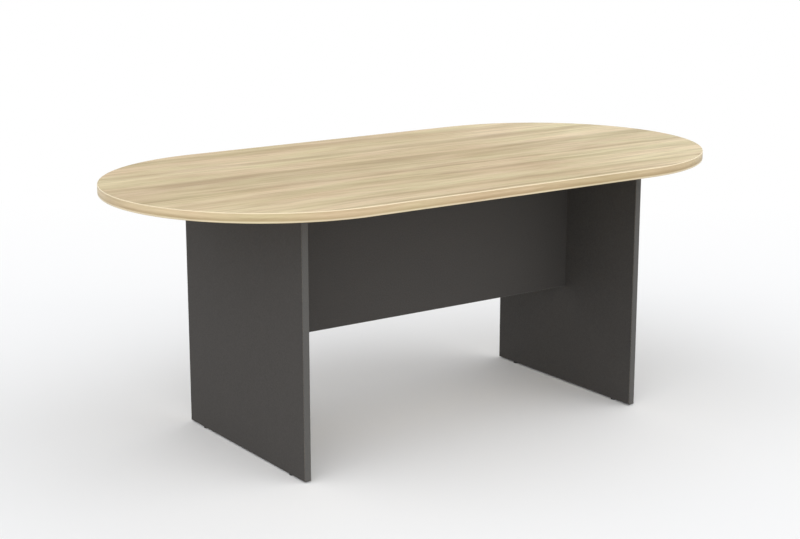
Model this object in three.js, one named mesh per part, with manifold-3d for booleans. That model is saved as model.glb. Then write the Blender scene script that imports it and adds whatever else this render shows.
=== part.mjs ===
// Conference table: an oval board top on two slab end panels with a modesty panel between them.
// Cam fittings and dowels hold the boards together, and four screw feet level the table.
// Millimetres, +Z up, +X along the table, front at -Y.
// The origin is on the floor under the middle of the top.
import * as THREE from "three";
import { mergeVertices } from "three/addons/utils/BufferGeometryUtils.js";
import Module from "manifold-3d";

const wasm = await Module();
wasm.setup();

// Table top: a board with half-round ends, edged all round
const TOP_LENGTH = 1800;
const TOP_WIDTH = 900;
const TOP_THICKNESS = 25;
const TABLE_HEIGHT = 720;
const TOP_EDGING = 2;
const TOP_ARRIS = 2;

// Base: two end panels and the modesty panel, set in from the edge of the top
const END_OVERHANG = 347;
const SIDE_OVERHANG = 150;
const PANEL_THICKNESS = 18;
const MODESTY_THICKNESS = 18;
const MODESTY_HEIGHT = 400;
const PANEL_EDGING = 2;
const PANEL_ARRIS = 1.5;
const BOTTOM_EDGING = 1;
const BOTTOM_ARRIS = 0.6;

// Cam fittings: the bolt's ball head sits in a zinc cam that is turned to draw the joint shut
const BOLT_HEAD = 6.4;
const BOLT_NECK = 3.8;
const BOLT_SHANK = 7;
const BOLT_THREAD = 6;
const BOLT_THREAD_LENGTH = 11;
const CAM_SETBACK = 34;
const CAM_DRAW = 1.9;
const CAM_WALL = 1.9;
const CAM_RECESS = 0.3;
const DRIVER_SPAN = 7;
const DRIVER_SLOT = 1.5;
const DRIVER_DEPTH = 2.6;

// Dowels: fluted beech pins that keep the boards in line
const DOWEL_DIAMETER = 8;
const DOWEL_LENGTH = 35;
const DOWEL_FACE_DEPTH = 12;
const DOWEL_CHAMFER = 1;
const FLUTE_DEPTH = 0.4;

// Where the fittings are, from the ends of the board whose edge they enter
const MODESTY_CAM_INSET = 64;
const MODESTY_TOP_CAM_INSET = 256;
const PANEL_CAM_INSET = 96;
const DOWEL_PITCH = 32;

// Screw feet: a plastic foot on a steel stud, in an insert nut pressed into the bottom of the panel
const FOOT_INSET = 75;
const FOOT_HEIGHT = 4;
const FOOT_DIAMETER = 18;
const FOOT_HEX = 14;
const FOOT_HEX_HEIGHT = 1.5;
const FOOT_FLOOR = 1.2;
const STUD_DIAMETER = 6;
const STUD_LENGTH = 25;
const INSERT_DIAMETER = 10;
const INSERT_LENGTH = 13;
const INSERT_BARB = 0.5;

// Clearances
const SEAT_GAP = 0.2;
const GLUE_LINE = 0.2;
const PRESS_FIT = 0.15;
const SHANK_FIT = 0.5;
const HEAD_FIT = 0.35;
const BLIND_GAP = 0.5;
const OVERRUN = 1;

// Facets of round pieces
const CURVE_STEPS = 40;
const CAM_SIDES = 20;
const PIN_SIDES = 12;

// Sizes that follow from the ones above
const undersideZ = TABLE_HEIGHT - TOP_THICKNESS;
const panelOuterX = TOP_LENGTH / 2 - END_OVERHANG;
const panelX = panelOuterX - PANEL_THICKNESS / 2;
const panelInnerX = panelOuterX - PANEL_THICKNESS;
const panelDepth = TOP_WIDTH - 2 * SIDE_OVERHANG;
const panelCoreDepth = panelDepth - 2 * (PANEL_EDGING + GLUE_LINE);
const panelTopZ = undersideZ - SEAT_GAP;
const panelCoreBottomZ = FOOT_HEIGHT + BOTTOM_EDGING + GLUE_LINE;
const modestyLength = 2 * (panelInnerX - SEAT_GAP);
const modestyBottomZ = undersideZ - MODESTY_HEIGHT;
const modestyCoreBottomZ = modestyBottomZ + BOTTOM_EDGING + GLUE_LINE;
const headRadius = BOLT_HEAD / 2;
const lockedRadius = headRadius + HEAD_FIT;
const camRadius = lockedRadius + CAM_DRAW + CAM_WALL;
const pocketRadius = camRadius + PRESS_FIT;

const OAK_BOARD = finish(0xd6c6a0, 0.45, 0);
const OAK_EDGING = finish(0xd9bf8f, 0.4, 0);
const CHARCOAL_BOARD = finish(0x45433f, 0.55, 0);
const CHARCOAL_EDGING = finish(0x57554f, 0.5, 0);
const ZINC = finish(0xb4b6b8, 0.4, 1);
const STEEL = finish(0xc2c3c2, 0.3, 1);
const BEECH = finish(0xd2ab7c, 0.7, 0);
const BLACK_PLASTIC = finish(0x1c1c1d, 0.5, 0);

const table = new THREE.Group();
table.name = "conference_table";

// Drillings that the fittings ask of each board, in the table's frame, until all of them are known
const drillings = new Map();

function finish(color, roughness, metalness) {
  return new THREE.MeshStandardMaterial({ color, roughness, metalness, flatShading: true });
}

function addPiece(parent, name, geometry, material) {
  const mesh = new THREE.Mesh(geometry, material);
  mesh.name = name;
  parent.add(mesh);
  return mesh;
}

// Closed solid of a geometry, for cutting and joining
function solidOf(geometry) {
  const bare = new THREE.BufferGeometry();
  const loose = geometry.index ? geometry.toNonIndexed() : geometry;
  bare.setAttribute("position", loose.getAttribute("position").clone());
  const welded = mergeVertices(bare, 1e-4);
  const kept = [];
  for (let i = 0; i < welded.index.count; i += 3) {
    const [a, b, c] = welded.index.array.subarray(i, i + 3);
    if (a !== b && b !== c && c !== a) kept.push(a, b, c);
  }
  return new wasm.Manifold(
    new wasm.Mesh({
      numProp: 3,
      vertProperties: welded.getAttribute("position").array,
      triVerts: new Uint32Array(kept),
    }),
  );
}

function geometryOf(solid) {
  const mesh = solid.getMesh();
  const geometry = new THREE.BufferGeometry();
  geometry.setAttribute("position", new THREE.BufferAttribute(mesh.vertProperties, 3));
  geometry.setIndex(new THREE.BufferAttribute(mesh.triVerts, 1));
  return geometry;
}

function cut(geometry, tools) {
  const left = tools.reduce((solid, tool) => solid.subtract(solidOf(tool)), solidOf(geometry));
  return geometryOf(left);
}

function join(first, second) {
  return geometryOf(solidOf(first).add(solidOf(second)));
}

// Solid turned about +Z from [radius, height] pairs that run up its outside
function turned(profile, sides) {
  const points = profile.map(([radius, height]) => new THREE.Vector2(radius, height));
  return new THREE.LatheGeometry(points, sides).rotateX(Math.PI / 2);
}

function rod(radius, from, to, sides) {
  return turned([[0, from], [radius, from], [radius, to], [0, to]], sides);
}

function block(lengthX, lengthY, fromZ, toZ) {
  return new THREE.BoxGeometry(lengthX, lengthY, toZ - fromZ).translate(0, 0, (fromZ + toZ) / 2);
}

function extruded(outline, fromZ, toZ, steps) {
  const options = { depth: toZ - fromZ, bevelEnabled: false, curveSegments: steps };
  return new THREE.ExtrudeGeometry(outline, options).translate(0, 0, fromZ);
}

// Oval outline with half-round ends
function oval(length, width) {
  const radius = width / 2;
  const centre = length / 2 - radius;
  const outline = new THREE.Shape();
  outline.moveTo(-centre, -radius);
  outline.lineTo(centre, -radius);
  outline.absarc(centre, 0, radius, -Math.PI / 2, Math.PI / 2, false);
  outline.lineTo(-centre, radius);
  outline.absarc(-centre, 0, radius, Math.PI / 2, 1.5 * Math.PI, false);
  return outline;
}

// Edging strip: glued face at y = 0, rounded outer face towards -Y, width along X, length along +Z
function edgingStrip(width, thickness, arris, length) {
  const half = width / 2;
  const radius = Math.min(arris, thickness);
  const outline = new THREE.Shape();
  outline.moveTo(-half, 0);
  outline.lineTo(-half, radius - thickness);
  outline.absarc(radius - half, radius - thickness, radius, Math.PI, 1.5 * Math.PI, false);
  outline.lineTo(half - radius, -thickness);
  outline.absarc(half - radius, radius - thickness, radius, 1.5 * Math.PI, 2 * Math.PI, false);
  outline.lineTo(half, 0);
  return extruded(outline, 0, length, 3);
}

// Frame of a joint: +Z from the drilled face into the other board's edge,
// +X out of the face where the cam is turned
function jointFrame(origin, along, facing) {
  const z = new THREE.Vector3(...along);
  const x = new THREE.Vector3(...facing);
  const y = new THREE.Vector3().crossVectors(z, x);
  const frame = new THREE.Group();
  frame.applyMatrix4(new THREE.Matrix4().makeBasis(x, y, z).setPosition(...origin));
  frame.updateMatrix();
  table.add(frame);
  return frame;
}

function drill(board, frame, tool) {
  if (!drillings.has(board)) drillings.set(board, []);
  drillings.get(board).push(tool.applyMatrix4(frame.matrix));
}

function machineBoards() {
  for (const [board, tools] of drillings) {
    board.updateMatrix();
    const intoBoard = board.matrix.clone().invert();
    tools.forEach((tool) => tool.applyMatrix4(intoBoard));
    board.geometry = cut(board.geometry, tools);
  }
}

// Spiral chamber of the cam: tightest where the bolt is when the cam is locked, widest half a turn from there
function spiral() {
  const points = [];
  for (let step = 0; step < CAM_SIDES; step += 1) {
    const angle = (2 * Math.PI * step) / CAM_SIDES - Math.PI;
    const radius = lockedRadius + (CAM_DRAW * Math.abs(angle)) / Math.PI;
    points.push(new THREE.Vector2(radius * Math.cos(angle), radius * Math.sin(angle)));
  }
  return new THREE.Shape(points);
}

// Cam about +Z, driver face at z = 0. The locked bolt comes in along +X at boltDepth below that face.
// Its neck runs in a slot half round the wall, which ends at -X in a notch that lets the head out.
function camGeometry(boltDepth) {
  const floorZ = -boltDepth - lockedRadius;
  const reach = camRadius + OVERRUN;
  const neckHalf = BOLT_NECK / 2 + HEAD_FIT;
  const slotShape = new THREE.Shape().absarc(0, 0, reach, Math.PI, 2 * Math.PI, false);
  slotShape.lineTo(reach, neckHalf).lineTo(0, neckHalf).lineTo(0, 0);
  const slot = extruded(slotShape, -boltDepth - neckHalf, neckHalf - boltDepth, CAM_SIDES / 2);
  const notchHalf = headRadius + HEAD_FIT / 2;
  const notchFoot = -lockedRadius - OVERRUN;
  const notchShape = new THREE.Shape().absarc(0, 0, notchHalf, 0, Math.PI, false);
  notchShape.lineTo(-notchHalf, notchFoot).lineTo(notchHalf, notchFoot);
  const notch = extruded(notchShape, -reach, 0, PIN_SIDES / 2).rotateX(Math.PI / 2).rotateZ(Math.PI / 2);
  notch.translate(0, 0, -boltDepth);
  const chamber = extruded(spiral(), floorZ - OVERRUN, lockedRadius - boltDepth, 1);
  const driver = [
    block(DRIVER_SPAN, DRIVER_SLOT, -DRIVER_DEPTH, OVERRUN),
    block(DRIVER_SLOT, DRIVER_SPAN, -DRIVER_DEPTH, OVERRUN),
  ];
  const body = rod(camRadius, floorZ, 0, CAM_SIDES);
  return cut(body, [chamber, slot, notch, ...driver]);
}

// Bolt about +Z: thread below z = 0, then shank, neck and the ball head on the cam's axis
function boltGeometry() {
  const shankEnd = CAM_SETBACK - pocketRadius - BLIND_GAP;
  const neck = BOLT_NECK / 2;
  const thread = BOLT_THREAD / 2;
  const point = 0.8;
  const profile = [
    [0, -BOLT_THREAD_LENGTH],
    [thread - point, -BOLT_THREAD_LENGTH],
    [thread, point - BOLT_THREAD_LENGTH],
    [thread, SEAT_GAP],
    [BOLT_SHANK / 2, SEAT_GAP],
    [BOLT_SHANK / 2, shankEnd - point],
    [neck, shankEnd],
  ];
  const start = Math.asin(neck / headRadius);
  for (let step = 0; step <= 4; step += 1) {
    const angle = start + ((Math.PI - start) * step) / 4;
    const radius = step < 4 ? headRadius * Math.sin(angle) : 0;
    profile.push([radius, CAM_SETBACK - headRadius * Math.cos(angle)]);
  }
  return turned(profile, PIN_SIDES);
}

function addCamFitting(name, frame, faceBoard, edgeBoard, edgeThickness) {
  const boltDepth = edgeThickness / 2 - CAM_RECESS;
  addPiece(frame, name + "_cam_bolt", boltGeometry(), STEEL);
  const cam = addPiece(frame, name + "_cam", camGeometry(boltDepth), ZINC);
  cam.position.set(boltDepth, 0, CAM_SETBACK);
  cam.rotation.y = Math.PI / 2;
  const pocketFloor = -lockedRadius - BLIND_GAP;
  const pocket = rod(pocketRadius, pocketFloor, edgeThickness / 2 + OVERRUN, CAM_SIDES);
  drill(edgeBoard, frame, pocket.rotateY(Math.PI / 2).translate(0, 0, CAM_SETBACK));
  drill(edgeBoard, frame, rod(BOLT_SHANK / 2 + SHANK_FIT, -OVERRUN, CAM_SETBACK, PIN_SIDES));
  const pilotFloor = -BOLT_THREAD_LENGTH - BLIND_GAP;
  drill(faceBoard, frame, rod(BOLT_THREAD / 2 + PRESS_FIT, pilotFloor, OVERRUN, PIN_SIDES));
}

// Fluted dowel about +Z with chamfered ends
function dowelGeometry() {
  const radius = DOWEL_DIAMETER / 2;
  const points = [];
  for (let step = 0; step < PIN_SIDES; step += 1) {
    const angle = (2 * Math.PI * step) / PIN_SIDES;
    const reach = step % 2 ? radius - FLUTE_DEPTH : radius;
    points.push(new THREE.Vector2(reach * Math.sin(angle), -reach * Math.cos(angle)));
  }
  const options = {
    depth: DOWEL_LENGTH - 2 * DOWEL_CHAMFER,
    bevelThickness: DOWEL_CHAMFER,
    bevelSize: DOWEL_CHAMFER / 2,
    bevelOffset: -DOWEL_CHAMFER / 2,
    bevelSegments: 1,
  };
  const pin = new THREE.ExtrudeGeometry(new THREE.Shape(points), options);
  return pin.translate(0, 0, DOWEL_CHAMFER - DOWEL_FACE_DEPTH);
}

function addDowel(name, frame, faceBoard, edgeBoard) {
  addPiece(frame, name + "_dowel", dowelGeometry(), BEECH);
  const radius = DOWEL_DIAMETER / 2 + PRESS_FIT;
  const edgeDepth = DOWEL_LENGTH - DOWEL_FACE_DEPTH + BLIND_GAP;
  drill(faceBoard, frame, rod(radius, -DOWEL_FACE_DEPTH - BLIND_GAP, OVERRUN, PIN_SIDES));
  drill(edgeBoard, frame, rod(radius, -OVERRUN, edgeDepth, PIN_SIDES));
}

// Plastic foot about +Z: a round pad with a softened rim, a hexagon for the spanner and a socket for the stud
function footGeometry() {
  const topZ = FOOT_HEIGHT - SEAT_GAP;
  const hexZ = topZ - FOOT_HEX_HEIGHT;
  const radius = FOOT_DIAMETER / 2;
  const rim = hexZ / 2;
  const pad = [
    [0, 0],
    [radius - rim, 0],
    [radius - 0.3 * rim, 0.3 * rim],
    [radius, rim],
    [radius, hexZ],
    [0, hexZ],
  ];
  const hexagon = rod(FOOT_HEX / Math.sqrt(3), hexZ / 2, topZ, 6);
  const socket = rod(STUD_DIAMETER / 2 + PRESS_FIT, FOOT_FLOOR, topZ + OVERRUN, PIN_SIDES);
  return cut(join(turned(pad, CAM_SIDES), hexagon), [socket]);
}

function studGeometry() {
  const radius = STUD_DIAMETER / 2;
  const point = 0.8;
  const fromZ = FOOT_FLOOR + SEAT_GAP;
  const toZ = fromZ + STUD_LENGTH;
  const profile = [[0, fromZ], [radius, fromZ], [radius, toZ - point], [radius - point, toZ], [0, toZ]];
  return turned(profile, PIN_SIDES);
}

// Insert nut: three barbs outside, a plain bore for the stud's thread inside
function insertGeometry() {
  const bore = STUD_DIAMETER / 2 + PRESS_FIT;
  const radius = INSERT_DIAMETER / 2;
  const fromZ = FOOT_HEIGHT + SEAT_GAP;
  const barbLength = INSERT_LENGTH / 3;
  const profile = [[bore, fromZ], [radius, fromZ]];
  for (let barb = 1; barb <= 3; barb += 1) {
    profile.push([radius - INSERT_BARB, fromZ + barb * barbLength]);
    if (barb < 3) profile.push([radius, fromZ + barb * barbLength]);
  }
  profile.push([bore, fromZ + INSERT_LENGTH], [bore, fromZ]);
  return turned(profile, PIN_SIDES);
}

function addFoot(name, x, y, panel, bottomStrip) {
  const place = new THREE.Group();
  place.position.set(x, y, 0);
  place.updateMatrix();
  table.add(place);
  addPiece(place, name + "_foot", footGeometry(), BLACK_PLASTIC);
  addPiece(place, name + "_foot_stud", studGeometry(), STEEL);
  addPiece(place, name + "_foot_insert", insertGeometry(), ZINC);
  const insertTop = FOOT_HEIGHT + SEAT_GAP + INSERT_LENGTH + SEAT_GAP;
  const studTop = FOOT_FLOOR + SEAT_GAP + STUD_LENGTH + BLIND_GAP;
  drill(panel, place, rod(INSERT_DIAMETER / 2 + PRESS_FIT, 0, insertTop, PIN_SIDES));
  drill(panel, place, rod(STUD_DIAMETER / 2 + SHANK_FIT, 0, Math.max(studTop, insertTop), PIN_SIDES));
  drill(bottomStrip, place, rod(INSERT_DIAMETER / 2 + PRESS_FIT, 0, insertTop, PIN_SIDES));
}

// Table top and its edging, which is rounded at both arrises and glued round the board
const coreInset = 2 * (TOP_EDGING + GLUE_LINE);
const topCore = extruded(oval(TOP_LENGTH - coreInset, TOP_WIDTH - coreInset), 0, TOP_THICKNESS, CURVE_STEPS);
const top = addPiece(table, "top_board", topCore, OAK_BOARD);
top.position.z = undersideZ;
const topArris = Math.min(TOP_ARRIS, TOP_EDGING, TOP_THICKNESS / 2);
const roundedOval = new THREE.ExtrudeGeometry(oval(TOP_LENGTH, TOP_WIDTH), {
  depth: TOP_THICKNESS - 2 * topArris,
  curveSegments: CURVE_STEPS,
  bevelThickness: topArris,
  bevelSize: topArris,
  bevelOffset: -topArris,
  bevelSegments: 2,
});
roundedOval.translate(0, 0, topArris);
const bandHole = oval(TOP_LENGTH - 2 * TOP_EDGING, TOP_WIDTH - 2 * TOP_EDGING);
const bandCutter = extruded(bandHole, -OVERRUN, TOP_THICKNESS + OVERRUN, CURVE_STEPS);
const topBand = addPiece(table, "top_edging", cut(roundedOval, [bandCutter]), OAK_EDGING);
topBand.position.z = undersideZ;

// Modesty panel, centred between the end panels, with its bottom edge covered
const modestyCore = block(modestyLength, MODESTY_THICKNESS, modestyCoreBottomZ, panelTopZ);
const modesty = addPiece(table, "modesty_panel", modestyCore, CHARCOAL_BOARD);
const modestyEdge = edgingStrip(MODESTY_THICKNESS, BOTTOM_EDGING, BOTTOM_ARRIS, modestyLength);
const modestyStrip = addPiece(table, "modesty_bottom_edging", modestyEdge, CHARCOAL_EDGING);
modestyStrip.rotation.set(Math.PI / 2, 0, Math.PI / 2, "ZYX");
modestyStrip.position.set(-modestyLength / 2, 0, modestyBottomZ + BOTTOM_EDGING);

// Each end: panel, edging, two feet, fittings to the top and to the modesty panel,
// and the fitting that holds this half of the modesty panel to the top
for (const [side, sign] of [["left", -1], ["right", 1]]) {
  const x = sign * panelX;
  const inward = [-sign, 0, 0];
  const core = block(PANEL_THICKNESS, panelCoreDepth, panelCoreBottomZ, panelTopZ);
  const panel = addPiece(table, side + "_end_panel", core, CHARCOAL_BOARD);
  panel.position.x = x;

  const bottomEdge = edgingStrip(PANEL_THICKNESS, BOTTOM_EDGING, BOTTOM_ARRIS, panelCoreDepth);
  const bottomStrip = addPiece(table, side + "_bottom_edging", bottomEdge, CHARCOAL_EDGING);
  bottomStrip.rotation.x = Math.PI / 2;
  bottomStrip.position.set(x, panelCoreDepth / 2, FOOT_HEIGHT + BOTTOM_EDGING);

  for (const [end, turn] of [["front", 0], ["rear", Math.PI]]) {
    const facing = end === "front" ? -1 : 1;
    const edge = edgingStrip(PANEL_THICKNESS, PANEL_EDGING, PANEL_ARRIS, panelTopZ - FOOT_HEIGHT);
    const strip = addPiece(table, side + "_" + end + "_edging", edge, CHARCOAL_EDGING);
    strip.rotation.z = turn;
    strip.position.set(x, facing * (panelDepth / 2 - PANEL_EDGING), FOOT_HEIGHT);

    const camY = facing * (panelDepth / 2 - PANEL_CAM_INSET);
    const dowelY = camY + facing * DOWEL_PITCH;
    const camFrame = jointFrame([x, camY, undersideZ], [0, 0, -1], inward);
    const dowelFrame = jointFrame([x, dowelY, undersideZ], [0, 0, -1], inward);
    addCamFitting(side + "_panel_" + end, camFrame, top, panel, PANEL_THICKNESS);
    addDowel(side + "_panel_" + end, dowelFrame, top, panel);
    addFoot(side + "_" + end, x, facing * (panelDepth / 2 - FOOT_INSET), panel, bottomStrip);
  }

  const heights = {
    upper: [undersideZ - MODESTY_CAM_INSET, -DOWEL_PITCH],
    lower: [modestyBottomZ + MODESTY_CAM_INSET, DOWEL_PITCH],
  };
  for (const [level, [camZ, dowelStep]] of Object.entries(heights)) {
    const name = "modesty_" + side + "_" + level;
    const camFrame = jointFrame([sign * panelInnerX, 0, camZ], inward, [0, 1, 0]);
    const dowelFrame = jointFrame([sign * panelInnerX, 0, camZ + dowelStep], inward, [0, 1, 0]);
    addCamFitting(name, camFrame, panel, modesty, MODESTY_THICKNESS);
    addDowel(name, dowelFrame, panel, modesty);
  }

  const topCamX = sign * (panelInnerX - MODESTY_TOP_CAM_INSET);
  const topCamFrame = jointFrame([topCamX, 0, undersideZ], [0, 0, -1], [0, 1, 0]);
  addCamFitting("modesty_top_" + side, topCamFrame, top, modesty, MODESTY_THICKNESS);
}

machineBoards();

export default table;
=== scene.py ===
import math

import bpy
from mathutils import Matrix, Vector


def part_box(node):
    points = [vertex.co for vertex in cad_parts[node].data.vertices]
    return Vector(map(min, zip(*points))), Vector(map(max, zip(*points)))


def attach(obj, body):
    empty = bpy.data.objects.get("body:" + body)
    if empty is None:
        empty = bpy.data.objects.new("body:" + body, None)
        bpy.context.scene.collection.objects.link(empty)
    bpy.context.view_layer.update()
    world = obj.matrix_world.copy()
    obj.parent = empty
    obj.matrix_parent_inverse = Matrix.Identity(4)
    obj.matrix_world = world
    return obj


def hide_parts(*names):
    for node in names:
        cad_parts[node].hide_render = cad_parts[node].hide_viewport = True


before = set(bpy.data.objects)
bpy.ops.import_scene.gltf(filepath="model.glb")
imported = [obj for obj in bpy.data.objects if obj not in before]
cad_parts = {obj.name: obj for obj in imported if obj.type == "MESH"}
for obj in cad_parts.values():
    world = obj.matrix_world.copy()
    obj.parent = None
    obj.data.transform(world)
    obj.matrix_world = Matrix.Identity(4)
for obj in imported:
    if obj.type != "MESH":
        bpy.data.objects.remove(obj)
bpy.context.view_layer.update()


# End panels: two upright slabs of 18 mm particle board, faced on both sides with charcoal melamine.
# Each is sawn square on a panel saw and then bored: cam pockets in the inner face, bolt and dowel
# holes in the top edge, pilot holes for the modesty panel, and holes underneath for the feet.

MM = 0.001
X, Y, Z = 0, 1, 2
SIDES = ("left", "right")
ENDS = ("front", "rear")
LEVELS = ("upper", "lower")
CAM_BORE = 7.5 * MM
SHANK_BORE = 4.0 * MM
PILOT_BORE = 3.15 * MM
DOWEL_BORE = 4.15 * MM
INSERT_BORE = 5.15 * MM
STUD_BORE = 3.5 * MM
BORE_SPARE = 0.5 * MM
BORE_SIDES = 48
SMOOTH_ANGLE = math.radians(32)
CHARCOAL = (0.061, 0.0575, 0.0545, 1)
CHARCOAL_FLECK = (0.074, 0.070, 0.0665, 1)
CHARCOAL_RUBBED = (0.125, 0.120, 0.114, 1)
CHIPBOARD = (0.42, 0.29, 0.17, 1)
CHIPBOARD_FLAKE = (0.62, 0.47, 0.30, 1)


def deselect_all():
    bpy.ops.object.select_all(action="DESELECT")


def take_up(piece):
    deselect_all()
    piece.select_set(True)
    bpy.context.view_layer.objects.active = piece


# Opens a piece in edit mode with only the chosen vertices, edges or faces selected
def pick(piece, kind, chosen):
    take_up(piece)
    bpy.ops.object.mode_set(mode="EDIT")
    bpy.ops.mesh.select_mode(type=kind)
    bpy.ops.mesh.select_all(action="DESELECT")
    bpy.ops.object.mode_set(mode="OBJECT")
    mesh = piece.data
    for part in {"VERT": mesh.vertices, "EDGE": mesh.edges, "FACE": mesh.polygons}[kind]:
        part.select = chosen(part)
    bpy.ops.object.mode_set(mode="EDIT")


def put_down():
    bpy.ops.object.mode_set(mode="OBJECT")


def settle(piece, name):
    take_up(piece)
    bpy.ops.object.transform_apply(location=True, rotation=True, scale=True)
    piece.name = name
    return piece


def sawn_block(name, low, high):
    deselect_all()
    bpy.ops.mesh.primitive_cube_add(size=1, location=(low + high) / 2)
    block = bpy.context.object
    block.scale = high - low
    return settle(block, name)


def finish_modifier(piece, modifier):
    take_up(piece)
    bpy.ops.object.modifier_apply(modifier=modifier.name)


# Takes a cutter out of a piece, joins it on, or keeps what they share
def carve(piece, cutter, operation="DIFFERENCE"):
    modifier = piece.modifiers.new("carve", "BOOLEAN")
    modifier.operation = operation
    modifier.object = cutter
    modifier.solver = "EXACT"
    modifier.use_self = True
    modifier.material_mode = "TRANSFER"
    finish_modifier(piece, modifier)
    bpy.data.objects.remove(cutter)


def shade_round(piece):
    take_up(piece)
    bpy.ops.object.shade_smooth_by_angle(angle=SMOOTH_ANGLE)


# Straight hole round a CAD fitting: its own axis and length with a little to spare at each end
def bore(node, axis, radius):
    low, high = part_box(node)
    turn = [0, 0, 0]
    if axis != Z:
        turn[1 - axis] = math.pi / 2
    depth = high[axis] - low[axis] + 2 * BORE_SPARE
    deselect_all()
    bpy.ops.mesh.primitive_cylinder_add(
        vertices=BORE_SIDES, radius=radius, depth=depth, location=(low + high) / 2, rotation=turn
    )
    return settle(bpy.context.object, "bore")


def drill(board, bores, inside):
    deselect_all()
    for cutter in bores:
        cutter.data.materials.append(inside)
        cutter.select_set(True)
    bpy.context.view_layer.objects.active = bores[0]
    bpy.ops.object.join()
    carve(board, bores[0])
    shade_round(board)


# The two faces keep the melamine, and every sawn edge shows the chipboard
def face_board(board, axis, melamine):
    board.data.materials.append(melamine)
    board.data.materials.append(raw_chipboard)
    for polygon in board.data.polygons:
        polygon.material_index = 0 if abs(polygon.normal[axis]) > 0.9 else 1


def fit(piece, node, body):
    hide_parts(node)
    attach(piece, body)


def shader_node(tree, kind, inputs=None, **settings):
    made = tree.nodes.new(kind)
    for setting, value in settings.items():
        setattr(made, setting, value)
    for socket, value in (inputs or {}).items():
        if isinstance(value, bpy.types.NodeSocket):
            tree.links.new(value, made.inputs[socket])
        else:
            made.inputs[socket].default_value = value
    return made


def worked(tree, operation, first, second=0.0):
    return shader_node(tree, "ShaderNodeMath", {0: first, 1: second}, operation=operation).outputs[0]


def spread(tree, value, low, high, to_low, to_high):
    limits = {"Value": value, "From Min": low, "From Max": high, "To Min": to_low, "To Max": to_high}
    return shader_node(tree, "ShaderNodeMapRange", limits).outputs["Result"]


def tinted(tree, amount, first, second, blend="MIX"):
    inputs = {0: amount, 6: first, 7: second}
    mix = shader_node(tree, "ShaderNodeMix", inputs, data_type="RGBA", blend_type=blend)
    return mix.outputs[2]


def clouds(tree, vector, scale, detail=2.0, roughness=0.5):
    inputs = {"Vector": vector, "Scale": scale, "Detail": detail, "Roughness": roughness}
    return shader_node(tree, "ShaderNodeTexNoise", inputs).outputs[0]


def stretched(tree, vector, scale):
    inputs = {0: vector, 1: scale}
    return shader_node(tree, "ShaderNodeVectorMath", inputs, operation="MULTIPLY").outputs[0]


def effect_group(name, takes, gives):
    tree = bpy.data.node_groups.new(name, "ShaderNodeTree")
    for socket, kind in takes.items():
        tree.interface.new_socket(name=socket, in_out="INPUT", socket_type="NodeSocket" + kind)
    for socket, kind in gives.items():
        tree.interface.new_socket(name=socket, in_out="OUTPUT", socket_type="NodeSocket" + kind)
    return tree, tree.nodes.new("NodeGroupInput").outputs, tree.nodes.new("NodeGroupOutput").inputs


def effect(tree, group, inputs):
    return shader_node(tree, "ShaderNodeGroup", inputs, node_tree=group).outputs


def new_finish(name):
    finish = bpy.data.materials.new(name)
    finish.use_nodes = True
    tree = finish.node_tree
    place = shader_node(tree, "ShaderNodeTexCoord").outputs["Object"]
    return finish, tree, tree.nodes["Principled BSDF"], place


def set_finish(tree, shader, color, roughness, height, depth, strength=1.0):
    bump = shader_node(tree, "ShaderNodeBump", {"Strength": strength, "Distance": depth, "Height": height})
    tree.links.new(color, shader.inputs["Base Color"])
    tree.links.new(roughness, shader.inputs["Roughness"])
    tree.links.new(bump.outputs["Normal"], shader.inputs["Normal"])


# Fine pearl that a press plate leaves in melamine, and that a mould leaves in plastic
pressed_pearl, takes, gives = effect_group(
    "pressed_pearl", {"Vector": "Vector", "Scale": "Float"}, {"Height": "Float", "Fleck": "Float"}
)
grain = clouds(pressed_pearl, takes["Vector"], takes["Scale"])
half_scale = worked(pressed_pearl, "MULTIPLY", takes["Scale"], 0.5)
pearl_inputs = {"Vector": takes["Vector"], "Scale": half_scale}
pearl = shader_node(pressed_pearl, "ShaderNodeTexVoronoi", pearl_inputs, feature="SMOOTH_F1")
pressed_pearl.links.new(worked(pressed_pearl, "ADD", grain, pearl.outputs["Distance"]), gives["Height"])
fleck = clouds(pressed_pearl, takes["Vector"], worked(pressed_pearl, "MULTIPLY", takes["Scale"], 0.3))
pressed_pearl.links.new(spread(pressed_pearl, fleck, 0.35, 0.65, 0, 1), gives["Fleck"])

# Haze that hands and cleaning cloths leave: broad clouds with faint wiping streaks
wiped_haze, takes, gives = effect_group("wiped_haze", {"Vector": "Vector"}, {"Haze": "Float"})
broad = clouds(wiped_haze, takes["Vector"], 3.0, 3.0)
streaks = clouds(wiped_haze, stretched(wiped_haze, takes["Vector"], (4, 14, 9)), 2.0, 4.0)
haze = worked(wiped_haze, "ADD", broad, streaks)
wiped_haze.links.new(spread(wiped_haze, haze, 0.7, 1.3, 0, 1), gives["Haze"])

# Rubbed arrises: where the rounded normal leaves the true one, broken up by fine clouds
rubbed_edge, takes, gives = effect_group(
    "rubbed_edge", {"Vector": "Vector", "Radius": "Float"}, {"Wear": "Float"}
)
rounded = shader_node(rubbed_edge, "ShaderNodeBevel", {"Radius": takes["Radius"]}, samples=6)
true_normal = shader_node(rubbed_edge, "ShaderNodeNewGeometry").outputs["Normal"]
likeness = shader_node(
    rubbed_edge, "ShaderNodeVectorMath", {0: rounded.outputs[0], 1: true_normal}, operation="DOT_PRODUCT"
)
turned_away = spread(rubbed_edge, likeness.outputs["Value"], 0.99, 0.86, 0, 1)
patches = spread(rubbed_edge, clouds(rubbed_edge, takes["Vector"], 60.0, 4.0), 0.35, 0.6, 0.35, 1)
rubbed_edge.links.new(worked(rubbed_edge, "MULTIPLY", turned_away, patches), gives["Wear"])

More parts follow.
